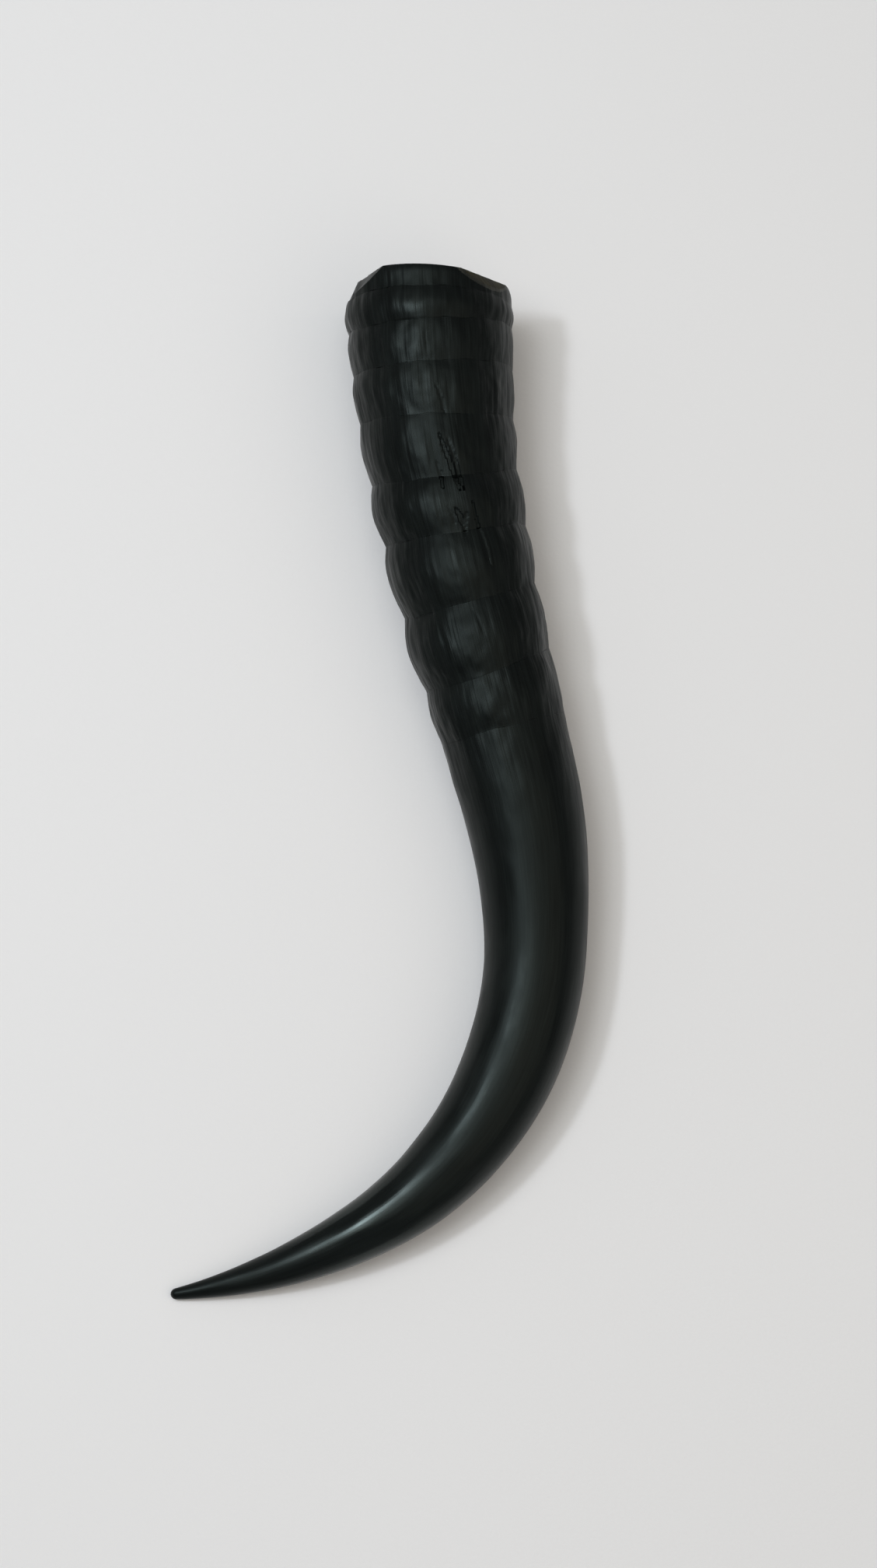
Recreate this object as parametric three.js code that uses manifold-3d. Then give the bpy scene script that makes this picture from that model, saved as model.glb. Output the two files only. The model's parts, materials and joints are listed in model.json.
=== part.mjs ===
// A black antelope horn, the raw form of a shofar. It lies on its side on the ground, with its sawn,
// open base towards +Y and its solid tip hooked towards -X.
//
// A horn is a stack of hollow keratin cones. Each growth period adds a cone inside the mouth of the
// older one, so every ring on the outside is the lip of one cone, and the younger cone nearer the
// base is nested in it. Each cone is a solid of its own here: a band of outer surface, a socket in
// its base end that takes the younger cone, and a spigot on its tip end that enters the older one.
//
// Millimetres and degrees, +Z up. Distances "along" the horn follow its middle line from the sawn
// base towards the tip, "across" is level and square to that line, and a half width is half of the
// horn's level width.

import * as THREE from "three";
import { mergeVertices } from "three/addons/utils/BufferGeometryUtils.js";
import Module from "manifold-3d";

const wasm = await Module();
wasm.setup();

// ---- Driving dimensions ----

// The middle line is a chain of tangent arcs. A positive turn bends it towards +X.
const BASE_HEADING = 3; // how far the line leaves the base turned from -Y towards +X
const BASE_HALF_WIDTH = 22.2;
const STRETCHES = [
  { name: "sawn stub", length: 20, turn: 0, endHalfWidth: 21.6 },
  { name: "lower rings", length: 40, turn: 7.5, endHalfWidth: 19.4 },
  { name: "upper rings", length: 38, turn: 4, endHalfWidth: 17.6 },
  { name: "last ring", length: 38, turn: 0, endHalfWidth: 16.5 },
  { name: "shank", length: 44, turn: -15.4, endHalfWidth: 13.7 },
  { name: "start of the hook", length: 38, turn: -24.2, endHalfWidth: 12.5 },
  { name: "hook", length: 54, turn: -35.7, endHalfWidth: 8 },
  { name: "point", length: 55, turn: -21.7, endHalfWidth: 1.3 },
];
const HEIGHT_TO_WIDTH = 0.95; // the section is a little flatter than it is wide

// The rings, from the base: the band of surface between two furrows, the crest's mean height over
// them, and how the furrow at the band's tip end leans. A positive topLean has the furrow's top
// nearer the tip, and a positive sideLean its +X side.
const RIM = { width: 5.5, crest: 0.5, topLean: 0, sideLean: 3 };
const RINGS = [
  { width: 6.8, crest: 0.9, topLean: 7, sideLean: 0.5 },
  { width: 11.4, crest: 0.6, topLean: 7.5, sideLean: 1 },
  { width: 13.8, crest: 0.6, topLean: 8, sideLean: 4.5 },
  { width: 15.5, crest: 0.7, topLean: 12, sideLean: 3 },
  { width: 16, crest: 1.2, topLean: 10.5, sideLean: 2.5 },
  { width: 18, crest: 1.3, topLean: 15, sideLean: -3 },
  { width: 19.5, crest: 1.3, topLean: 13, sideLean: -7 },
  { width: 17, crest: 0.6, topLean: 5, sideLean: 0 },
];
const SAW_LEAN = 6.5; // the saw cut leans: its +X side is nearer the tip
const LEAN_FADE = 40; // how far past the rings their lean dies out
const CREST_FLATNESS = 0.8; // below 1 the crests are broader than the furrows
const CREST_SKEW = 0.85; // below 1 the crests lie nearer their base end
const HOOKWARD_SWELL = 0.3; // the share of a crest's height by which it stands out to the hook's side

// The hollow that the bone core leaves.
const WALL_AT_BASE = 3.3;
const WALL_AT_HOLLOW_END = 6.8;
const HOLLOW_LENGTH = 186;
const HOLLOW_NOSE = 26; // the rounded closed end of the hollow, part of its length

// How one growth cone nests in the next.
const SPIGOT_LENGTH = 4.5;
const SPIGOT_WALL = 1.4;
const NEST_GAP = 0.3;

// The rim's edge is worn away obliquely in two places, given by their turn from the top towards +X.
const WORN_EDGES = [
  { around: 50, inset: 3, setback: 4.5 },
  { around: -62, inset: 2.2, setback: 3.2 },
];

// Fineness of the surfaces.
const SIDES = 32;
const RING_STEPS = 6;
const SHANK_STEP = 8;
const ROUND_STEPS = 4;

const RIM_FINISH = { color: 0x23241c, roughness: 0.62, metalness: 0 };
const RING_FINISH = { color: 0x1b1e1d, roughness: 0.5, metalness: 0 };
const TIP_FINISH = { color: 0x151717, roughness: 0.3, metalness: 0 };

// ---- The horn's form, as functions of the distance along it ----

const sum = (values) => values.reduce((total, value) => total + value, 0);
const RAD = Math.PI / 180;
const QUARTER_TURN = 90 * RAD;
const HORN_LENGTH = sum(STRETCHES.map((stretch) => stretch.length));

// Where the middle line is at a distance along the horn, seen from above, and its heading there.
// The sawn stub is straight, so it also gives the places of points a little before its start.
function middleLine(along) {
  let x = 0;
  let y = 0;
  let heading = BASE_HEADING * RAD;
  let rest = along;
  for (const { length, turn } of STRETCHES) {
    const done = Math.min(rest, length);
    const turned = (turn * RAD * done) / length;
    if (turned === 0) {
      x += done * Math.sin(heading);
      y -= done * Math.cos(heading);
    } else {
      const radius = done / turned;
      x += radius * (Math.cos(heading) - Math.cos(heading + turned));
      y -= radius * (Math.sin(heading + turned) - Math.sin(heading));
    }
    heading += turned;
    rest -= done;
    if (rest <= 0) break;
  }
  return { x, y, heading };
}

// The half width between the ends of the stretches follows one smooth curve.
const stretchEnds = [0];
const endHalfWidths = [BASE_HALF_WIDTH];
for (const { length, endHalfWidth } of STRETCHES) {
  stretchEnds.push(stretchEnds.at(-1) + length);
  endHalfWidths.push(endHalfWidth);
}
const taper = new THREE.CubicInterpolant(stretchEnds, endHalfWidths, 1);
const halfWidth = (along) => taper.evaluate(along)[0];

// Each band starts in a furrow and ends in the next one.
const bands = [];
for (const { width, crest } of [RIM, ...RINGS]) {
  const start = bands.length ? bands.at(-1).end : 0;
  bands.push({ start, end: start + width, crest });
}
const RINGS_END = bands.at(-1).end;

// How high a crest's round back stands over the furrows, on top of the half width.
function relief(along) {
  const band = bands.find(({ start, end }) => along > start && along < end);
  if (!band) return 0;
  const share = (along - band.start) / (band.end - band.start);
  return band.crest * Math.sin(Math.PI * share ** CREST_SKEW) ** CREST_FLATNESS;
}

// The height of the middle line lays every crest, and the smooth shank, on the ground.
const crestPlaces = [0, ...bands.map((band) => (band.start + band.end) / 2), RINGS_END, HORN_LENGTH];
const crestHeights = [RIM.crest, ...bands.map((band) => band.crest), 0, 0];
const crestLine = new THREE.LinearInterpolant(crestPlaces, crestHeights, 1);
const middleHeight = (along) =>
  HEIGHT_TO_WIDTH * (halfWidth(Math.max(0, along)) + crestLine.evaluate(Math.max(0, along))[0]);

// The hollow: its half width is the horn's less the wall, and its end is a rounded nose.
const NOSE_START = HOLLOW_LENGTH - HOLLOW_NOSE;
const wall = (along) =>
  THREE.MathUtils.lerp(WALL_AT_BASE, WALL_AT_HOLLOW_END, along / HOLLOW_LENGTH);
const hollow = (along) => halfWidth(along) - wall(along);
const spigot = (along) => hollow(along) + SPIGOT_WALL;
const socket = (along) => spigot(along) + NEST_GAP;

// ---- From a turned profile to a piece of the bent horn ----

// Points of a profile between two distances along the horn, by the radius that a function gives.
function run(from, to, steps, radiusAt) {
  return Array.from({ length: steps + 1 }, (_, step) => {
    const along = THREE.MathUtils.lerp(from, to, step / steps);
    return new THREE.Vector2(radiusAt(along), along);
  });
}

// The lean between the furrows goes evenly from one to the next. Each gives how far a point slides
// along the horn for each millimetre that it lies across, or up from the middle line.
const leanPlaces = [0, ...bands.map((band) => band.end), RINGS_END + LEAN_FADE];
const slides = (leans) => leans.map((lean) => Math.tan(lean * RAD));
const sideLeans = slides([SAW_LEAN, ...[RIM, ...RINGS].map((ring) => ring.sideLean), 0]);
const topLeans = slides([0, ...[RIM, ...RINGS].map((ring) => ring.topLean), 0]);
const sideSlide = new THREE.LinearInterpolant(leanPlaces, sideLeans, 1);
const topSlide = new THREE.LinearInterpolant(leanPlaces, topLeans, 1);

// Turns the profile round a straight axis, leans it, and lays each point on the bent middle line.
function hornPiece(profile) {
  const turned = new THREE.LatheGeometry(profile, SIDES);
  turned.deleteAttribute("normal");
  turned.deleteAttribute("uv");
  const geometry = mergeVertices(turned, 1e-4);
  const points = geometry.getAttribute("position");
  for (let i = 0; i < points.count; i++) {
    const straight = points.getY(i);
    const across = -points.getX(i) - HOOKWARD_SWELL * relief(straight);
    const up = points.getZ(i) * HEIGHT_TO_WIDTH;
    const slide = across * sideSlide.evaluate(straight)[0] + up * topSlide.evaluate(straight)[0];
    const { x, y, heading } = middleLine(straight + slide);
    points.setXYZ(
      i,
      x + across * Math.cos(heading),
      y + across * Math.sin(heading),
      middleHeight(straight) + up,
    );
  }
  return geometry;
}

function namedMesh(name, geometry, finish) {
  geometry.computeVertexNormals();
  const mesh = new THREE.Mesh(geometry, new THREE.MeshStandardMaterial(finish));
  mesh.name = name;
  return mesh;
}

// ---- Growth cones ----

// The band's outer surface with its crest, from the furrow at its base end to the shoulder.
const surface = (along) => halfWidth(along) + relief(along);
const bandSurface = (band) => run(band.start, band.end - NEST_GAP, RING_STEPS, surface);

// The spigot's outside beyond the band, then its inside back down the hollow.
function spigotAndHollow(band, hollowStart) {
  const tipEnd = band.end + SPIGOT_LENGTH;
  return [
    ...run(band.end - NEST_GAP, tipEnd, 1, spigot),
    ...run(tipEnd, band.end, 1, hollow),
    ...run((band.end + hollowStart) / 2, hollowStart, 1, hollow),
  ];
}

// The socket that takes the younger cone's spigot, from its floor out to the lip.
const socketEnd = (band) => band.start + SPIGOT_LENGTH + NEST_GAP;
const socketWall = (band) => run(socketEnd(band), band.start, 1, socket);

function growthRing(band) {
  const profile = [...bandSurface(band), ...spigotAndHollow(band, socketEnd(band)), ...socketWall(band)];
  profile.push(profile[0].clone());
  return hornPiece(profile);
}

// The oldest cone: the smooth shank, the nose of the hollow, and the solid tip with its round point.
function tipCone() {
  const band = { start: RINGS_END };
  const point = STRETCHES.at(-1).endHalfWidth;
  const roundStart = HORN_LENGTH - point;
  const shankSteps = Math.round((roundStart - RINGS_END) / SHANK_STEP);
  const angles = Array.from({ length: ROUND_STEPS }, (_, step) => (QUARTER_TURN * (step + 1)) / ROUND_STEPS);
  const tip = angles.map((angle) => {
    const along = roundStart + point * Math.sin(angle);
    return new THREE.Vector2(halfWidth(along) * Math.cos(angle), along);
  });
  tip.at(-1).x = 0;
  const nose = angles.map((angle) => {
    const radius = hollow(NOSE_START) * Math.sin(angle);
    return new THREE.Vector2(radius, NOSE_START + HOLLOW_NOSE * Math.cos(angle));
  });
  const hollowSteps = Math.round((NOSE_START - socketEnd(band)) / SHANK_STEP);
  return hornPiece([
    new THREE.Vector2(0, HOLLOW_LENGTH),
    ...nose.slice(0, -1),
    ...run(NOSE_START, socketEnd(band), hollowSteps, hollow),
    ...socketWall(band),
    ...run(RINGS_END, roundStart, shankSteps, halfWidth),
    ...tip,
  ]);
}

// ---- The worn edges of the rim, each cut away by a plane ----

function asSolid(geometry) {
  const bare = new THREE.BufferGeometry();
  bare.setAttribute("position", geometry.getAttribute("position"));
  bare.setIndex(geometry.getIndex());
  const merged = mergeVertices(bare, 1e-4);
  const vertProperties = new Float32Array(merged.getAttribute("position").array);
  const triVerts = new Uint32Array(merged.getIndex().array);
  return new wasm.Manifold(new wasm.Mesh({ numProp: 3, vertProperties, triVerts }));
}

function asGeometry(solid) {
  const { vertProperties, triVerts } = solid.getMesh();
  const geometry = new THREE.BufferGeometry();
  geometry.setAttribute("position", new THREE.BufferAttribute(vertProperties, 3));
  geometry.setIndex(new THREE.BufferAttribute(triVerts, 1));
  return geometry;
}

// A block whose near face is the plane of wear: it meets the sawn face at the inset from the
// outside of the rim, and the outside at the setback from the sawn face.
function wornAway(wear) {
  const { x, y, heading } = middleLine(0);
  const outwards = new THREE.Vector3(-Math.sin(heading), Math.cos(heading), 0);
  const level = new THREE.Vector3(Math.cos(heading), Math.sin(heading), 0);
  const around = wear.around * RAD;
  const radial = level.multiplyScalar(Math.sin(around));
  radial.z = Math.cos(around);
  const facing = radial.clone().multiplyScalar(wear.setback);
  facing.addScaledVector(outwards, wear.inset).normalize();
  const size = 4 * BASE_HALF_WIDTH;
  const block = new THREE.BoxGeometry(size, size, size);
  block.deleteAttribute("normal");
  block.deleteAttribute("uv");
  block.translate(0, 0, size / 2);
  block.applyQuaternion(new THREE.Quaternion().setFromUnitVectors(new THREE.Vector3(0, 0, 1), facing));
  const meets = radial.multiplyScalar(BASE_HALF_WIDTH - wear.inset);
  block.translate(x + meets.x, y + meets.y, middleHeight(0) + meets.z);
  return block;
}

// The youngest cone: no socket, since its base end is the sawn face.
function rimRing() {
  const band = bands[0];
  const profile = [...bandSurface(band), ...spigotAndHollow(band, 0)];
  profile.push(profile[0].clone());
  const whole = asSolid(hornPiece(profile));
  const worn = WORN_EDGES.reduce((solid, wear) => solid.subtract(asSolid(wornAway(wear))), whole);
  return asGeometry(worn);
}

// ---- Assembly ----

const cones = new THREE.Group();
cones.add(namedMesh("rim_ring", rimRing(), RIM_FINISH));
bands.slice(1).forEach((band, index) => {
  cones.add(namedMesh(`growth_ring_${index + 1}`, growthRing(band), RING_FINISH));
});
cones.add(namedMesh("tip_cone", tipCone(), TIP_FINISH));

// The origin is on the ground, under the middle of the horn's outline.
const outline = new THREE.Box3().setFromObject(cones, true);
const centre = outline.getCenter(new THREE.Vector3());
cones.position.set(-centre.x, -centre.y, -outline.min.z);

const horn = new THREE.Group();
horn.add(cones);

export default horn;
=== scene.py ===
# %% [markdown]
# # A black antelope horn, cone by cone
# A horn is not one skin. Each growth period adds a hollow cone of keratin inside the mouth of the
# older one, so the rings on the outside are the lips of nested cones, and the last and oldest cone
# is the long smooth tip. This lesson builds every cone as a piece of its own on the imported CAD
# frame: straight first, where a horn is easy to shape, then leaned and bent to its place.
#
# The frame is loaded first and never touched. Its box is kept, to print beside the new one at the end.

# %% Load the frame
import json
import math

import bpy
import numpy as np
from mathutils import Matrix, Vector


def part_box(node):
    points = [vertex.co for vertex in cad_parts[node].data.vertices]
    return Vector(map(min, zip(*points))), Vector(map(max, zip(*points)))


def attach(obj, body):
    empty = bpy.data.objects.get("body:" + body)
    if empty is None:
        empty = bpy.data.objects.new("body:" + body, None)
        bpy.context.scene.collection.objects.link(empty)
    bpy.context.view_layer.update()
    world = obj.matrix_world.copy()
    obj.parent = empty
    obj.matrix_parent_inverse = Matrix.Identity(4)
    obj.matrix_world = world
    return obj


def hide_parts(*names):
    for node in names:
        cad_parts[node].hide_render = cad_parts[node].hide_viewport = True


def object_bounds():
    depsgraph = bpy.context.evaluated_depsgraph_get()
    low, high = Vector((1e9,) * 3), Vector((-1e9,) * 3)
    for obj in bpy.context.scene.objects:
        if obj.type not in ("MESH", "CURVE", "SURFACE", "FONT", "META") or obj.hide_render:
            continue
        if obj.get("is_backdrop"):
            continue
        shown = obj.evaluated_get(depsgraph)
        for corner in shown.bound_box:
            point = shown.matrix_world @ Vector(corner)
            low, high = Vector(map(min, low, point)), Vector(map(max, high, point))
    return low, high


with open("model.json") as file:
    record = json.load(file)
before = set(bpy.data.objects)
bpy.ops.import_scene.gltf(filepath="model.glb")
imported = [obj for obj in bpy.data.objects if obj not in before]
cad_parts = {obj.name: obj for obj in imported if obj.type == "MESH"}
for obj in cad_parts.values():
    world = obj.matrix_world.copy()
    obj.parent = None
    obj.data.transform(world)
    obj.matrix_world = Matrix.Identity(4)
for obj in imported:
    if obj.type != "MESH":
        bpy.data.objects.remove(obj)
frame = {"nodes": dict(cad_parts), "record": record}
cad_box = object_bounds()
MM = 0.001
print("frame nodes:", sorted(frame["nodes"]))
print("frame box in mm:", [[round(x / MM, 1) for x in corner] for corner in cad_box])

# %% [markdown]
# ## The horn's measures
# The middle line of the horn is a chain of arcs that flow into each other, seen from above. Each
# stretch has its length, its turn (positive towards +X) and the half width where it ends. The
# distance along this line, from the sawn base to the tip, is the horn's own ruler, and everything
# below is placed by it.

# %% Driving dimensions, in millimetres and degrees
BASE_HEADING = 3
BASE_HALF_WIDTH = 22.2
STRETCHES = [
    # length, turn, half width at its end
    (20, 0, 21.6),
    (40, 7.5, 19.4),
    (38, 4, 17.6),
    (38, 0, 16.5),
    (44, -15.4, 13.7),
    (38, -24.2, 12.5),
    (54, -35.7, 8),
    (55, -21.7, 1.3),
]
HEIGHT_TO_WIDTH = 0.95

RINGS = [
    # width, height of the crest, and of the furrow after it; how that furrow leans: its top
    # towards the tip, and its +X side towards the tip
    (5.5, 0.5, 0.45, 0, 3),
    (6.8, 0.95, 0.1, 7, 0.5),
    (11.4, 0.65, 0, 7.5, 1),
    (13.8, 0.65, 0, 8, 4.5),
    (15.5, 0.75, 0, 12, 3),
    (16, 1.25, 0, 10.5, 2.5),
    (18, 1.35, 0, 15, -3),
    (19.5, 1.35, 0, 13, -7),
    (17, 0.65, 0, 5, 0),
]
SAW_LEAN = 6.5
LEAN_FADE = 40
CREST_ROUNDNESS = 1.15
CREST_SKEW = 0.85
HOOKWARD_SWELL = 0.3

WALL_AT_BASE = 3.3
WALL_AT_HOLLOW_END = 6.8
HOLLOW_LENGTH = 186
HOLLOW_NOSE = 26
SPIGOT_LENGTH = 4.5
SPIGOT_WALL = 1.4
NEST_GAP = 0.3

HORN_LENGTH = sum(length for length, _, _ in STRETCHES)
FURROWS = np.cumsum([0] + [ring[0] for ring in RINGS])
RINGS_END = FURROWS[-1]
print("length along the middle line:", HORN_LENGTH, "mm, rings end at", RINGS_END)

# %% [markdown]
# ## Form as functions of the distance along the horn
# A maker would cut cardboard templates of the section at a few places and fair the horn between
# them. The taper does that: one smooth curve through the half widths. The relief adds the rounded
# backs of the rings, which are broad with narrow furrows and lie nearer their base end. The middle
# height keeps every crest just touching the ground that the horn lies on. The furrow behind the
# rim is hardly there, because the rim and the first ring swell together.

# %% Taper, relief and height
stretch_ends = np.cumsum([0] + [length for length, _, _ in STRETCHES])
end_half_widths = [BASE_HALF_WIDTH] + [width for _, _, width in STRETCHES]


def half_width(along):
    """The half width in the furrows, on a cubic curve through the ends of the stretches."""
    i = int(np.clip(np.searchsorted(stretch_ends, along), 1, len(STRETCHES)))
    start, end = stretch_ends[i - 1], stretch_ends[i]
    first, last = i == 1, i == len(STRETCHES)
    before = end if first else stretch_ends[i - 2]
    after = start if last else stretch_ends[i + 1]
    w_before = end_half_widths[i if first else i - 2]
    w_after = end_half_widths[i - 1 if last else i + 1]
    half = (end - start) / 2
    pull, push = half / (start - before), half / (after - end)
    p = (along - start) / (end - start)
    w_start = end_half_widths[i - 1]
    return (
        w_before * (-pull * p**3 + 2 * pull * p**2 - pull * p)
        + w_start * ((1 + pull) * p**3 - (1.5 + 2 * pull) * p**2 - (0.5 - pull) * p + 1)
        + end_half_widths[i] * (-(1 + push) * p**3 + (1.5 + push) * p**2 + 0.5 * p)
        + w_after * (push * p**3 - push * p**2)
    )


def relief(along):
    """How high the skin stands over the deepest furrows: low in a furrow, high on a ring's back."""
    i = int(np.searchsorted(FURROWS, along))
    floor = np.interp(along, FURROWS, [0, *[ring[2] for ring in RINGS]])
    if i == 0 or i >= len(FURROWS) or along in FURROWS:
        return float(floor)
    width, crest = RINGS[i - 1][:2]
    share = (along - FURROWS[i - 1]) / width
    return float(floor + (crest - floor) * math.sin(math.pi * share**CREST_SKEW) ** CREST_ROUNDNESS)


crest_places = [0, *(FURROWS[:-1] + FURROWS[1:]) / 2, RINGS_END, HORN_LENGTH]
crest_heights = [RINGS[0][1], *[ring[1] for ring in RINGS], 0, 0]


def middle(along):
    """Where the middle of the section is, for a horn that is still straight along X."""
    along_horn = max(0, along)
    crest = np.interp(along_horn, crest_places, crest_heights)
    height = HEIGHT_TO_WIDTH * (half_width(along_horn) + crest)
    return Vector((along, -HOOKWARD_SWELL * relief(along), height)) * MM


def surface(along):
    return half_width(along) + relief(along)


def hollow(along):
    share = along / HOLLOW_LENGTH
    return half_width(along) - WALL_AT_BASE - (WALL_AT_HOLLOW_END - WALL_AT_BASE) * share


def spigot(along):
    return hollow(along) + SPIGOT_WALL


def socket(along):
    return spigot(along) + NEST_GAP


for place in (0, 37.5, 78, 150, 260):
    print(f"at {place} mm: half width {surface(place):.2f}, hollow {hollow(place):.2f}")

# %% [markdown]
# ## The guide for the bend
# A horn's curve comes last. It is easiest to draw it as a curve object of its own, and to let a
# Curve modifier carry the straight cones along it. It lies on the ground and starts under the
# middle of the sawn face, at the x and y of the mount in the record. Each Bezier handle is a
# third of its step long, which keeps a short arc round.

# %% Draw the guide
base_point = frame["record"]["mounts"][0]["pos_m"]
GUIDE_STEP = 4


def guide_line():
    """Points of the middle line with the direction at each, in metres."""
    x, y = base_point[0], base_point[1]
    heading = math.radians(BASE_HEADING)
    places = [(x, y, heading)]
    for length, turn, _ in STRETCHES:
        steps = math.ceil(length / GUIDE_STEP)
        step, part = length / steps * MM, math.radians(turn) / steps
        chord = step * (math.sin(part / 2) / (part / 2) if part else 1)
        for _ in range(steps):
            x += chord * math.sin(heading + part / 2)
            y -= chord * math.cos(heading + part / 2)
            heading += part
            places.append((x, y, heading))
    return places


places = guide_line()
guide_data = bpy.data.curves.new("horn_guide", "CURVE")
guide_data.dimensions = "3D"
guide_data.twist_mode = "Z_UP"
guide_data.resolution_u = 16
line = guide_data.splines.new("BEZIER")
line.bezier_points.add(len(places) - 1)
for i, (point, (x, y, heading)) in enumerate(zip(line.bezier_points, places)):
    forward = Vector((math.sin(heading), -math.cos(heading), 0))
    here = Vector((x, y, 0))
    back = (here - Vector((*places[i - 1][:2], 0))).length if i else 0
    ahead = (Vector((*places[i + 1][:2], 0)) - here).length if i < len(places) - 1 else 0
    point.co = here
    point.handle_left_type = point.handle_right_type = "FREE"
    point.handle_left = here - forward * (back or ahead) / 3
    point.handle_right = here + forward * (ahead or back) / 3
guide = bpy.data.objects.new("horn_guide", guide_data)
bpy.context.scene.collection.objects.link(guide)
guide_ends = [[round(value / MM, 2) for value in places[i][:2]] for i in (0, -1)]
print("guide starts at", guide_ends[0], "and ends at", guide_ends[1])

# %% [markdown]
# ## The cage that leans the rings
# The rings do not stand square on the horn: their tops lie nearer the tip, and some are askew.
# Sliding a whole section a little for each millimetre up or across is a shear, and a lattice does
# exactly that: four rails run along the horn, and the corners of the cage slide by the lean of
# the place. The lean goes evenly from furrow to furrow and dies out past the last ring.

# %% Build the cage
CAGE_STEP = 2.7
CAGE_STEPS = 63
CAGE_HALF = 40
CAGE_START = -4
lean_places = [0, *FURROWS[1:], RINGS_END + LEAN_FADE]
top_leans = [math.tan(math.radians(a)) for a in [0, *[ring[3] for ring in RINGS], 0]]
side_leans = [math.tan(math.radians(a)) for a in [SAW_LEAN, *[ring[4] for ring in RINGS], 0]]

cage_data = bpy.data.lattices.new("lean_cage")
cage_data.points_u = CAGE_STEPS + 1
cage_data.interpolation_type_u = "KEY_LINEAR"
cage_data.interpolation_type_v = "KEY_LINEAR"
cage_data.interpolation_type_w = "KEY_LINEAR"
cage = bpy.data.objects.new("lean_cage", cage_data)
bpy.context.scene.collection.objects.link(cage)
cage.location = ((CAGE_START + CAGE_STEP * CAGE_STEPS / 2) * MM, 0, 0)
cage.scale = (CAGE_STEP * MM, 2 * CAGE_HALF * MM, 2 * CAGE_HALF * MM)
bpy.context.view_layer.update()
for corner in cage_data.points:
    rest = cage.matrix_world @ corner.co
    along = rest.x / MM
    up = rest.z - middle(along).z
    slide = rest.y * np.interp(along, lean_places, side_leans)
    slide += up * np.interp(along, lean_places, top_leans)
    corner.co_deform.x += slide / cage.scale.x
print("cage corners:", len(cage_data.points), "to", round(rest.x / MM, 1), "mm")

# %% [markdown]
# ## Turning a cone
# Each cone starts as a plain circle and is drawn out like a pot on a wheel: extrude the ring of
# edges, move it to the next station, and scale it to the radius there. The outline runs over the
# outer surface, steps in to the spigot, comes back down the hollow and out through the socket,
# and the last loop closes on the first. Loops at real corners are creased, so that Subdivision
# Surface keeps them crisp while it rounds the rest.

# %% Helpers for edit mode
RING_SIDES = 96
TIP_SIDES = 80
SMALLEST_RADIUS = 0.02
SAME_POINT = 0.001


def only(piece):
    """Selects one object alone and makes it active."""
    bpy.ops.object.select_all(action="DESELECT")
    piece.select_set(True)
    bpy.context.view_layer.objects.active = piece


def apply_modifier(piece, kind, name, **settings):
    only(piece)
    modifier = piece.modifiers.new(name, kind)
    for key, value in settings.items():
        setattr(modifier, key, value)
    bpy.ops.object.modifier_apply(modifier=name)


def turned_cone(name, stations, sides, solid_point):
    """A turned solid along X. A station is its place, its radius, and how sharp it is, 0 to 1."""
    along, radius, sharp = stations[0]
    bpy.ops.object.select_all(action="DESELECT")
    bpy.ops.mesh.primitive_circle_add(
        vertices=sides, radius=radius * MM, location=middle(along), rotation=(0, math.radians(90), 0)
    )
    piece = bpy.context.object
    piece.name = piece.data.name = name
    only(piece)
    bpy.ops.object.transform_apply(location=True, rotation=True, scale=True)
    bpy.ops.object.mode_set(mode="EDIT")
    bpy.ops.mesh.select_mode(type="EDGE")
    bpy.ops.mesh.select_all(action="SELECT")
    bpy.ops.transform.resize(value=(1, 1, HEIGHT_TO_WIDTH), center_override=middle(along))
    bpy.ops.transform.edge_crease(value=sharp)
    for next_along, next_radius, next_sharp in stations[1:]:
        step = middle(next_along) - middle(along)
        bpy.ops.mesh.extrude_edges_move(TRANSFORM_OT_translate={"value": step})
        grown = max(next_radius, SMALLEST_RADIUS) / max(radius, SMALLEST_RADIUS)
        bpy.ops.transform.resize(value=(1, grown, grown), center_override=middle(next_along))
        bpy.ops.transform.edge_crease(value=-1)
        if next_sharp:
            bpy.ops.transform.edge_crease(value=next_sharp)
        along, radius = next_along, next_radius
    if solid_point:
        bpy.ops.mesh.edge_face_add()
    bpy.ops.mesh.select_all(action="SELECT")
    bpy.ops.mesh.remove_doubles(threshold=SAME_POINT * MM)
    bpy.ops.mesh.normals_make_consistent(inside=False)
    bpy.ops.object.mode_set(mode="OBJECT")
    return piece


def run(start, end, steps, radius_at, sharp_start=0, sharp_end=0):
    """Stations from start to end, with the ends as sharp as asked."""
    places = np.linspace(start, end, steps + 1)
    sharps = [sharp_start] + [0] * (steps - 1) + [sharp_end]
    return [(place, radius_at(place), sharp) for place, sharp in zip(places, sharps)]


# %% [markdown]
# ## The ring cones
# A ring's back is steep beside its furrows and flat on its crest, so its stations crowd towards
# both ends. Between the outer surface and the next cone only a hairline is left, as on a grown
# horn, where the seam of two cones hardly shows.

# %% Turn the rim ring and the eight growth rings
HAIRLINE = 0.02
RING_STATION = 1.1


def band_stations(start, end):
    """Stations over a ring's back, closer together beside the furrows."""
    count = max(8, round((end - start) / RING_STATION))
    turns = np.linspace(0, math.pi, count + 1)
    places = start + (end - start) * (1 - np.cos(turns)) / 2
    even = np.linspace(start, end, count + 1)
    places = 0.6 * places + 0.4 * even
    return [(place, surface(place), 0) for place in places[1:-1]]


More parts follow.
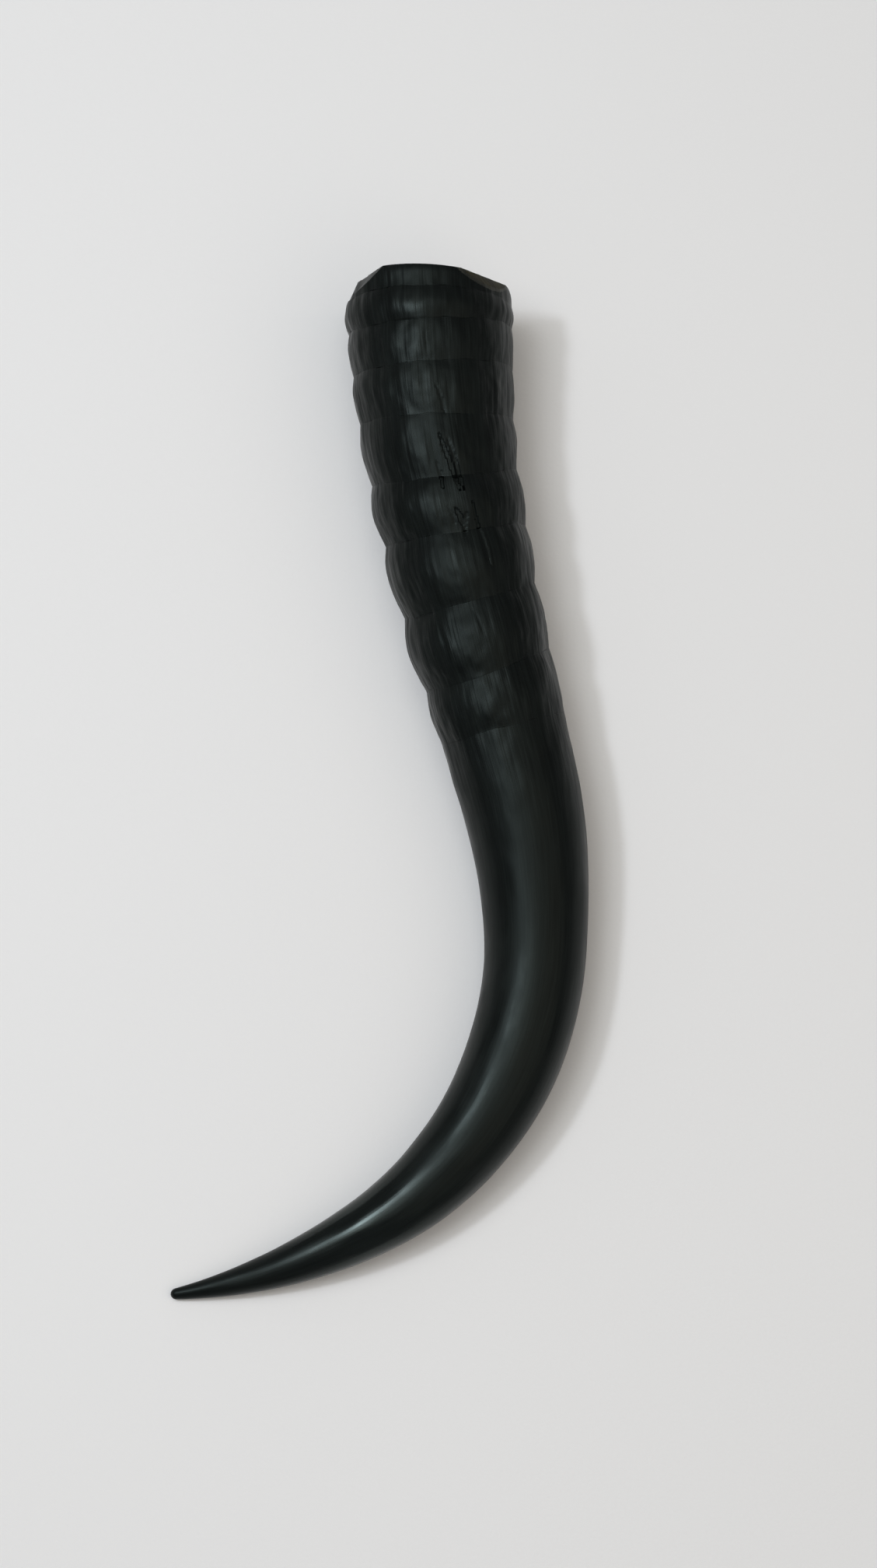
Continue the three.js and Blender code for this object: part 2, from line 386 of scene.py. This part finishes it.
def ring_cone(name, start, end):
    """A cone from its furrow to the next one, with its spigot and its socket."""
    shoulder = end - HAIRLINE
    tip_end = end + SPIGOT_LENGTH
    stations = [(start, surface(start), 1), *band_stations(start, shoulder)]
    stations += [(shoulder, surface(shoulder), 1), (shoulder, spigot(shoulder), 1)]
    stations += [(tip_end, spigot(tip_end), 1), (tip_end, hollow(tip_end), 1)]
    if start == 0:
        stations += run(end, start, 5, hollow, 0, 1)
    else:
        floor = start + SPIGOT_LENGTH + NEST_GAP
        stations += run((end + floor) / 2, floor, 2, hollow, 0, 1)
        stations += run(floor, start, 2, socket, 1, 1)
    stations.append(stations[0])
    return turned_cone(name, stations, RING_SIDES, False)


ring_names = ["rim_ring"] + [f"growth_ring_{i}" for i in range(1, len(RINGS))]
bands = zip(ring_names, FURROWS, FURROWS[1:])
rings = [ring_cone("horn_" + name, start, end) for name, start, end in bands]
for ring in rings:
    print(ring.name, len(ring.data.polygons), "faces")

# %% [markdown]
# ## The tip cone
# The oldest cone is the smooth shank, the hook and the solid point. Its hollow ends in a rounded
# nose halfway down. The profile starts at the nose's pole, comes out through the socket, and runs
# down the outside to the point, where the last small loop is filled.

# %% Turn the tip cone
TIP_STATION = 4.2
ROUND_STEPS = 5


def tip_cone():
    point = STRETCHES[-1][2]
    round_start = HORN_LENGTH - point
    nose_start = HOLLOW_LENGTH - HOLLOW_NOSE
    floor = RINGS_END + SPIGOT_LENGTH + NEST_GAP
    turns = [math.pi / 2 * i / ROUND_STEPS for i in range(1, ROUND_STEPS + 1)]
    nose = [(nose_start + HOLLOW_NOSE * math.cos(a), hollow(nose_start) * math.sin(a), 0) for a in turns]
    stations = [(HOLLOW_LENGTH, 0.3, 0), *nose[:-1]]
    stations += run(nose_start, floor, 6, hollow, 0, 1)
    stations += run(floor, RINGS_END, 2, socket, 1, 1)
    shank_steps = round((round_start - RINGS_END) / TIP_STATION)
    stations += run(RINGS_END, round_start, shank_steps, surface, 1, 0)
    for a in turns[:-1]:
        along = round_start + point * math.sin(a)
        stations.append((along, half_width(along) * math.cos(a), 0))
    stations.append((HORN_LENGTH, 0.1, 0))
    cone = turned_cone("horn_tip_cone", stations, TIP_SIDES, True)
    only(cone)
    bpy.ops.object.mode_set(mode="EDIT")
    bpy.ops.mesh.select_all(action="DESELECT")
    bpy.ops.mesh.select_non_manifold()
    bpy.ops.mesh.edge_face_add()
    bpy.ops.mesh.select_all(action="SELECT")
    bpy.ops.mesh.normals_make_consistent(inside=False)
    bpy.ops.object.mode_set(mode="OBJECT")
    return cone


tip = tip_cone()
print(tip.name, len(tip.data.polygons), "faces")

# %% [markdown]
# ## Fine skin, still straight
# Now every cone is subdivided to about a third of a millimetre, and then given what growth does
# to it. Displace modifiers read plain procedural noises in the place of an empty, so one noise
# runs on over all the cones and their seams stay closed. The rings wander along the horn, the
# whole skin is gently lumpy, and fine grooves run lengthwise, because that noise's empty is
# stretched along X. A vertex group holds the layers back at the sawn face, which the saw left
# flat, and lets them die out on the shank.

# %% Subdivide
cones = rings + [tip]
for cone in cones:
    apply_modifier(cone, "SUBSURF", "fine_skin", levels=2, render_levels=2)
print("finest cone has", max(len(cone.data.polygons) for cone in cones), "faces")

# %% Growth layers
LAYERS = [
    # name, size across and along in mm, strength in mm, direction, rest on the tip, saw clearance
    ("ring_wander", 14, 22, 2.4, "X", 0, 9),
    ("growth_lumps", 9, 12, 0.9, "RGB_TO_XYZ", 0.25, 9),
    ("knots", 3.6, 5.5, 0.4, "RGB_TO_XYZ", 0, 5),
    ("flutes", 2.6, 30, 0.3, "NORMAL", 0.05, 3),
    ("grooves", 1, 20, 0.14, "NORMAL", 0.1, 3),
]
SHANK_FADE = 32
SHARE_STEPS = 40


def growth_noise(name, across, along, in_color):
    """A noise stretched along the horn, and the empty that places it."""
    noise = bpy.data.textures.new(name, "CLOUDS")
    noise.noise_basis = "ORIGINAL_PERLIN"
    noise.cloud_type = "COLOR" if in_color else "GRAYSCALE"
    noise.noise_scale = 1
    noise.noise_depth = 1
    holder = bpy.data.objects.new(name + "_place", None)
    bpy.context.scene.collection.objects.link(holder)
    holder.scale = (along * MM, across * MM, across * MM)
    return noise, holder


def straight_places(cone):
    """For each point: how far along, its turn from the top towards +X, and its half width."""
    points = np.empty(len(cone.data.vertices) * 3, np.float32)
    cone.data.vertices.foreach_get("co", points)
    along, across, height = points.reshape(-1, 3).T / MM
    heights = np.interp(along, height_samples, middle_heights)
    up = (height - heights) / HEIGHT_TO_WIDTH
    return along, np.degrees(np.arctan2(across, up)), np.maximum(np.hypot(across, up), 0.01)


height_samples = np.linspace(0, HORN_LENGTH, 1500)
middle_heights = [middle(along).z / MM for along in height_samples]
skin_widths = [surface(along) for along in height_samples]


def hold_back(cone, rest, clearance):
    """A vertex group with the share of a layer that each point gets."""
    along = straight_places(cone)[0]
    fades = [0, clearance, RINGS_END - 6, RINGS_END + SHANK_FADE]
    steps = np.round(np.interp(along, fades, [0, 1, 1, rest]) * SHARE_STEPS).astype(int)
    cone.vertex_groups.clear()
    group = cone.vertex_groups.new(name="layer_share")
    for step in np.unique(steps):
        group.add(np.flatnonzero(steps == step).tolist(), step / SHARE_STEPS, "REPLACE")
    return group.name


holders = []
for name, across, length, strength, direction, rest, clearance in LAYERS:
    noise, holder = growth_noise(name, across, length, direction == "RGB_TO_XYZ")
    holders.append(holder)
    bpy.context.view_layer.update()
    for cone in cones:
        share = hold_back(cone, rest, clearance)
        settings = {"texture": noise, "texture_coords": "OBJECT", "texture_coords_object": holder}
        settings.update(direction=direction, mid_level=0.5, strength=strength * MM, vertex_group=share)
        apply_modifier(cone, "DISPLACE", name, **settings)
    print(name, "laid on", len(cones), "cones")

# %% [markdown]
# ## Cracks and knots
# Horn dries and splits along its fibres. Two short cracks open side by side on the fourth ring,
# one long fine one crosses the fifth and sixth, and a knotty spot lies between them. They are
# pressed into the skin where it is nearest to their lines, deepest in the middle.

# %% Press them in
SKIN_DEPTH = 1.4
CRACKS = [
    # from and to, in mm along the horn; turn from the top towards +X there; width and depth
    (42.5, 58, -1, 7, 1.2, 0.1),
    (43.5, 58.5, 4, 11, 1.1, 0.09),
    (49, 57, -6, -5, 0.9, 0.07),
    (61, 80, 15, 19, 0.9, 0.09),
    (30, 38, 1, 5, 0.9, 0.08),
    (62.5, 68, 1, 5, 1.4, 0.12),
    (64, 70.5, 8, 5, 1.2, 0.11),
    (61.5, 67, -4, -1, 1.1, 0.09),
    (88, 97, -4, 2, 0.8, 0.07),
    (16, 25, -4, -3, 0.8, 0.07),
]


def crack(cone, start, end, turn, end_turn, width, depth):
    along, around, radius = straight_places(cone)
    share = np.clip((along - start) / (end - start), 0, 1)
    line = turn + (end_turn - turn) * share + 0.5 * np.sin(5 * share + start)
    away = np.abs(np.radians(around - line)) * radius
    open_width = width * np.sqrt(np.maximum(np.sin(np.pi * share), 0))
    outer = radius > np.interp(along, height_samples, skin_widths) - SKIN_DEPTH
    pressed = 0
    for step in (1, 0.65, 0.35):
        near = (away < open_width / 2 * step) & outer
        if near.any():
            only(cone)
            cone.data.vertices.foreach_set("select", near)
            bpy.ops.object.mode_set(mode="EDIT")
            bpy.ops.transform.shrink_fatten(value=-depth / 3 * MM)
            bpy.ops.object.mode_set(mode="OBJECT")
            pressed += int(near.sum())
    return pressed


for cone in rings:
    only(cone)
    bpy.ops.object.mode_set(mode="EDIT")
    bpy.ops.mesh.select_mode(type="VERT")
    bpy.ops.mesh.select_all(action="DESELECT")
    bpy.ops.object.mode_set(mode="OBJECT")
    print(cone.name, "points pressed in:", sum(crack(cone, *line) for line in CRACKS))

# %% [markdown]
# ## Keep the straight place of every point
# The grain of horn follows its curve. While the cones are still straight, each point's place is
# written down as an attribute: how far along the horn it is, and which way round, as a point on a
# cylinder of fixed radius. The materials read this, so their fibres bend with the horn and draw
# together towards the tip. The faces of the hollow, the nests and the saw cut are told apart from
# the skin here too, by how deep they lie.

# %% Store the place, then lean and bend
GRAIN_RADIUS = 20
# Finish slots: black skin, raw horn, and the pale arris, which is partly a painted edge highlight.
SKIN, WALL, ARRIS = 0, 1, 2


def store_place(cone):
    along, around, radius = straight_places(cone)
    turns = np.radians(around)
    place = np.column_stack([along, GRAIN_RADIUS * np.sin(turns), GRAIN_RADIUS * np.cos(turns)])
    attribute = cone.data.attributes.new("horn_place", "FLOAT_VECTOR", "POINT")
    attribute.data.foreach_set("vector", place.astype(np.float32).ravel())
    skin_inside = np.interp(along, height_samples, skin_widths) - SKIN_DEPTH
    deep = (radius < skin_inside) & (along < HOLLOW_LENGTH + 1)
    faces = np.empty(len(cone.data.polygons), np.int32)
    faces[:] = [WALL if deep[list(face.vertices)].any() else SKIN for face in cone.data.polygons]
    for _ in (SKIN, WALL, ARRIS):
        cone.data.materials.append(None)
    cone.data.polygons.foreach_set("material_index", faces)
    return int((faces == WALL).sum())


for cone in cones:
    walls = store_place(cone)
    cone.vertex_groups.clear()
    apply_modifier(cone, "LATTICE", "lean", object=cage)
    apply_modifier(cone, "CURVE", "bend", object=guide, deform_axis="POS_X")
    print(cone.name, "has", walls, "faces inside")
for helper in [guide, cage, *holders]:
    bpy.data.objects.remove(helper)

# %% Compare each cone with its CAD solid
for name, cone in zip(ring_names + ["tip_cone"], cones):
    points = np.array([point.co for point in cone.data.vertices])
    low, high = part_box(name)
    past = [*(np.array(low) - points.min(0)) / MM, *(points.max(0) - np.array(high)) / MM]
    print(name, "stands past its solid's box by", [round(float(value), 2) for value in past])

# %% [markdown]
# ## The worn rim
# The saw left a sharp edge, and years of handling and lying about wore it away obliquely on both
# sides of the top. A straight cut with Bisect, capped with a face, is just that: a small flat
# through the wall, and two of them that meet round a worn corner. The fresh flat shows the olive
# brown of raw horn. Below it a narrow band is painted pale: partly the skin thinning out, partly a
# painted highlight, for the light that the worn edge would catch. The others have gone black
# again. Cutting leaves slivers. Merging and validating clear most of them, but a few open
# edges and loose faces stay on the rim, so its mesh is not closed as the other nine are.

# %% Cut the worn edges
WORN_EDGES = [
    # turn from the top towards +X, inset on the sawn face, setback on the outside, finish
    (48, 3.3, 5.4, WALL),
    (84, 0.6, 2.4, SKIN),
    (-62, 2.4, 3.2, SKIN),
    (-80, 2.1, 4.8, SKIN),
]
# Width of the pale arris band: thinning skin, and a painted highlight along the worn edge.
ARRIS_WIDTH = 0.45
SLIVER = 0.005


def wear(cone, around, inset, setback, finish):
    heading, turn = math.radians(BASE_HEADING), math.radians(around)
    outwards = Vector((-math.sin(heading), math.cos(heading), 0))
    level = Vector((math.cos(heading), math.sin(heading), 0))
    radial = level * math.sin(turn) + Vector((0, 0, math.cos(turn)))
    meets = Vector((base_point[0], base_point[1], middle(0).z))
    meets += radial * (BASE_HALF_WIDTH - inset) * MM
    facing = (radial * setback + outwards * inset).normalized()
    only(cone)
    bpy.ops.object.mode_set(mode="EDIT")
    bpy.ops.mesh.select_mode(type="FACE")
    bpy.ops.mesh.select_all(action="SELECT")
    bpy.ops.mesh.bisect(plane_co=meets, plane_no=facing, clear_outer=True, use_fill=True)
    bpy.ops.object.mode_set(mode="OBJECT")
    cut = 0
    # Faces on the cut get its finish. Skin just below a fresh flat gets the pale arris: thinning skin
    # plus a painted edge highlight.
    for face in cone.data.polygons:
        depth = (meets - face.center).dot(facing) / MM
        if face.select and depth < 0.01:
            face.material_index = finish
            cut += face.area / MM**2
        elif finish == WALL and depth < ARRIS_WIDTH and face.material_index == SKIN:
            face.material_index = ARRIS
    print("worn at", around, "degrees:", round(cut, 1), "mm2")


rim = rings[0]
for edge in WORN_EDGES:
    wear(rim, *edge)
bpy.ops.object.mode_set(mode="EDIT")
bpy.ops.mesh.select_all(action="SELECT")
bpy.ops.mesh.remove_doubles(threshold=SLIVER * MM)
bpy.ops.mesh.dissolve_degenerate(threshold=SLIVER * MM)
bpy.ops.object.mode_set(mode="OBJECT")
print("rim needed repair:", rim.data.validate())

# %% [markdown]
# ## Finishes
# Four finishes cover the horn, all of them keratin, the stuff of nails: ringed skin, rubbed skin,
# raw horn and its arris, whose pale grey is partly a painted edge highlight. Small helpers keep the
# node code short: one turns a hex colour to linear, one adds a node with its settings and links.

# %% Material helpers
def linear(hex_color):
    """An sRGB hex colour as linear red, green, blue and alpha."""
    channels = [int(hex_color[i : i + 2], 16) / 255 for i in (1, 3, 5)]
    return [*[c / 12.92 if c <= 0.04045 else ((c + 0.055) / 1.055) ** 2.4 for c in channels], 1]


def add_node(material, kind, inputs=None, **settings):
    """A node with its settings, each input given a value or linked from another node's output."""
    node = material.node_tree.nodes.new(kind)
    for key, value in settings.items():
        setattr(node, key, value)
    for key, value in (inputs or {}).items():
        if isinstance(value, bpy.types.NodeSocket):
            material.node_tree.links.new(value, node.inputs[key])
        else:
            node.inputs[key].default_value = value
    return node


def ramp(material, factor, stops):
    """A colour ramp through (place, colour) stops."""
    node = add_node(material, "ShaderNodeValToRGB", {"Fac": factor})
    for i, (place, color) in enumerate(stops):
        stop = node.color_ramp.elements[i] if i < 2 else node.color_ramp.elements.new(place)
        stop.position = place
        stop.color = color if len(color) == 4 else linear(color)
    return node.outputs["Color"]


def grain(material, width, length, detail=3, offset=(0, 0, 0)):
    """Fibres of a width and length in mm that follow the horn: noise in the stored place."""
    place = add_node(material, "ShaderNodeAttribute", attribute_name="horn_place").outputs["Vector"]
    scaled = add_node(
        material,
        "ShaderNodeMapping",
        {"Vector": place, "Location": offset, "Scale": (1 / length, 1 / width, 1 / width)},
    )
    noise = {"Vector": scaled.outputs["Vector"], "Scale": 1, "Detail": detail}
    return add_node(material, "ShaderNodeTexNoise", noise).outputs["Fac"]


def new_material(name):
    material = bpy.data.materials.new(name)
    material.use_nodes = True
    material.node_tree.nodes.clear()
    return material


def mixed(material, kind, factor, a, b):
    node = add_node(material, "ShaderNodeMix", data_type="RGBA", blend_type=kind)
    for socket, value in ((0, factor), (6, a), (7, b)):
        if isinstance(value, bpy.types.NodeSocket):
            material.node_tree.links.new(value, node.inputs[socket])
        else:
            node.inputs[socket].default_value = value
    return node.outputs[2]


def finish_shader(material, color, roughness, height, bump, **values):
    """A Principled surface with its bump, wired to the output."""
    strength, distance = bump
    ridges = {"Height": height, "Strength": strength, "Distance": distance * MM}
    normal = add_node(material, "ShaderNodeBump", ridges).outputs["Normal"]
    inputs = {"Base Color": color, "Roughness": roughness, "Normal": normal, **values}
    shader = add_node(material, "ShaderNodeBsdfPrincipled", inputs)
    add_node(material, "ShaderNodeOutputMaterial", {"Surface": shader.outputs["BSDF"]})


# %% [markdown]
# **Black skin.** The outer keratin is nearly black, with a green-grey cast where its fibres lie
# open. On the rings it is as it grew, only cleaned and oiled: it shines softly, and fibres less
# than a millimetre wide break a highlight into fine lengthwise lines. The tip is the same skin,
# rubbed smooth on bark and ground all the animal's life and waxed since, so along the shank the
# fibres die away and the shine grows. One recipe serves both, and they meet without a step.

# %% Ringed and rubbed skin
def black_skin(name, rubbed_gloss):
    """Black horn skin. The gloss grows from the last ring to the hook, and the point is scuffed."""
    skin = new_material(name)
    place = add_node(skin, "ShaderNodeAttribute", attribute_name="horn_place").outputs["Vector"]
    along = add_node(skin, "ShaderNodeSeparateXYZ", {"Vector": place}).outputs["X"]
    fibres, bundles = grain(skin, 0.45, 14), grain(skin, 1.8, 36, 2, (5, 3, 1))
    patches = grain(skin, 8, 16, 3, (2, 8, 4))

    tone = ramp(skin, fibres, [(0.36, "#000000"), (0.7, "#ffffff")])
    color = mixed(skin, "MIX", tone, linear("#050606"), linear("#0f1211"))
    open_fibres = ramp(skin, patches, [(0.55, "#000000"), (0.8, "#8c8c8c")])
    color = mixed(skin, "MIX", open_fibres, color, linear("#171b19"))

    rest = {"Value": along, "From Min": float(RINGS_END) - 4}
    rest["From Max"] = float(RINGS_END) + SHANK_FADE
    fibre_share = add_node(skin, "ShaderNodeMapRange", {**rest, "To Min": 1, "To Max": 0.1})
    height = add_node(skin, "ShaderNodeMath", {0: fibres, 1: 0.35, 2: bundles}, operation="MULTIPLY_ADD")
    height = {0: height.outputs[0], 1: fibre_share.outputs[0]}
    height = add_node(skin, "ShaderNodeMath", height, operation="MULTIPLY")

    tip_share = {"Value": along, "From Min": float(RINGS_END), "From Max": float(HORN_LENGTH)}
    tip_share = add_node(skin, "ShaderNodeMapRange", tip_share).outputs[0]
    rubbed = [(0, "#000000"), (0.6, "#8a8a8a"), (0.74, "#ffffff"), (0.86, "#8a8a8a"), (1, "#606060")]
    gloss = ramp(skin, tip_share, rubbed)
    worn = {"Value": patches, "From Min": 0.3, "From Max": 0.7, "To Min": 0.34, "To Max": 0.52}
    worn = add_node(skin, "ShaderNodeMapRange", worn).outputs[0]
    rough = {0: gloss, 1: -rubbed_gloss, 2: worn}
    rough = add_node(skin, "ShaderNodeMath", rough, operation="MULTIPLY_ADD").outputs[0]
    level = {0: gloss, 1: rubbed_gloss, 2: 0.16}
    level = add_node(skin, "ShaderNodeMath", level, operation="MULTIPLY_ADD").outputs[0]
    shine = {"IOR": 1.55, "Specular IOR Level": level, "Specular Tint": linear("#dcefe8")}
    finish_shader(skin, color, rough, height.outputs[0], (1, 0.16), **shine)
    return skin


ringed = black_skin("ringed_keratin_oiled", 0)
polished = black_skin("tip_keratin_rubbed", 0.22)

# %% [markdown]
# ** Raw horn.** Where the saw and wear went through the skin, the wall shows olive brown and
# matt, with pale fibre ends. The inside of the hollow is the same. Below the fresh wear a band of
# half a millimetre is a paler grey: the black skin thins out to nothing there, and the pale band
# is also a painted highlight, for the light that the worn edge would catch.

# %% Raw horn, and its arris with a painted highlight
def raw_horn(name, fibre_dark, fibre_pale, roughness):
    raw = new_material(name)
    fibres, blotches = grain(raw, 0.5, 4), grain(raw, 3.5, 7, 2, (3, 3, 3))
    color = mixed(raw, "MIX", fibres, linear(fibre_dark), linear(fibre_pale))
    shade = ramp(raw, blotches, [(0.35, "#666666"), (0.65, "#ffffff")])
    color = mixed(raw, "MULTIPLY", 0.7, color, shade)
    finish_shader(raw, color, roughness, fibres, (1, 0.12), **{"IOR": 1.55, "Specular IOR Level": 0.2})
    return raw


raw = raw_horn("raw_keratin_sawn", "#19170b", "#3a3720", 0.62)
# The arris: paler grey where the skin thins, and a painted highlight for the light the edge would catch.
arris = raw_horn("arris_thin_skin_and_painted_highlight", "#262722", "#45463e", 0.5)

# %% Hand out the finishes
CREASE_ANGLE = 38
for name, cone in zip(ring_names + ["tip_cone"], cones):
    cone.data.materials[SKIN] = polished if cone is tip else ringed
    cone.data.materials[WALL] = raw
    cone.data.materials[ARRIS] = arris
    only(cone)
    bpy.ops.object.shade_smooth_by_angle(angle=math.radians(CREASE_ANGLE))
    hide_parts(name)
    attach(cone, "root")
    print(cone.name, [material.name for material in cone.data.materials])

# %% [markdown]
# ## Floor, light and camera
# The horn lies on a pale cloth by a window on the hook's side: cool light from there, a broad
# neutral ceiling above, and a little warm room light from the other side, so that the two faint
# shadows differ in tone. Near-black horn needs few reflections, so the room around stays dim.

# %% Cloth
bpy.ops.object.select_all(action="DESELECT")
bpy.ops.mesh.primitive_plane_add(size=6, location=(0, 0, 0))
floor = bpy.context.object
floor.name = "cloth_floor"
cloth = new_material("pale_cloth")
place = add_node(cloth, "ShaderNodeTexCoord").outputs["Object"]
threads = add_node(cloth, "ShaderNodeTexNoise", {"Vector": place, "Scale": 1100, "Detail": 1})
matt = {"Specular IOR Level": 0.2}
finish_shader(cloth, linear("#f5f5f3"), 0.95, threads.outputs["Fac"], (0.25, 0.2), **matt)
floor.data.materials.append(cloth)
floor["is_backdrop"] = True

# %% Lights
LIGHTS = [
    # name, direction it comes from, distance and size in metres, light on the cloth, colour
    ("window", (-0.36, 0.12, 0.92), 1.3, 0.6, 0.56, "#f2f6ff"),
    ("window_gap", (-0.47, 0.10, 0.88), 1.25, 0.12, 0.5, "#eef4ff"),
    ("ceiling", (-0.18, 0.15, 0.97), 1.5, 1.3, 0.85, "#fffefa"),
    ("warm_room", (0.5, -0.25, 0.83), 1.5, 1.6, 0.46, "#ffefdf"),
]
for name, direction, distance, size, on_cloth, color in LIGHTS:
    lamp_data = bpy.data.lights.new(name, "AREA")
    lamp_data.shape = "DISK"
    lamp_data.size = size
    facing = Vector(direction).normalized()
    lamp_data.energy = on_cloth * math.pi * distance**2 / facing.z
    lamp_data.color = linear(color)[:3]
    lamp = bpy.data.objects.new(name, lamp_data)
    lamp.location = facing * distance
    lamp.rotation_euler = facing.to_track_quat("Z", "Y").to_euler()
    bpy.context.scene.collection.objects.link(lamp)
    print(name, round(lamp_data.energy, 2), "W")

world = bpy.data.worlds.new("room")
world.use_nodes = True
background = world.node_tree.nodes["Background"]
background.inputs["Color"].default_value = linear("#fafcff")
background.inputs["Strength"].default_value = 0.2
bpy.context.scene.world = world
bpy.context.scene.view_settings.view_transform = "Standard"

# %% Camera
LOOK_AT = Vector((0.01543, 0.00201, 0))
CAMERA_DISTANCE = 0.85
CAMERA_HEIGHT = math.radians(80)
camera_data = bpy.data.cameras.new("camera")
camera_data.lens = 71.77
camera_data.sensor_width = 36
camera = bpy.data.objects.new("camera", camera_data)
offset = Vector((0, -math.cos(CAMERA_HEIGHT), math.sin(CAMERA_HEIGHT)))
camera.location = LOOK_AT + CAMERA_DISTANCE * offset
camera.rotation_euler = (math.radians(90) - CAMERA_HEIGHT, 0, 0)
bpy.context.scene.collection.objects.link(camera)
bpy.context.scene.camera = camera

# %% Print both boxes, and finish
new_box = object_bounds()
size = {"cad": [list(corner) for corner in cad_box], "visual": [list(corner) for corner in new_box]}
print(size)
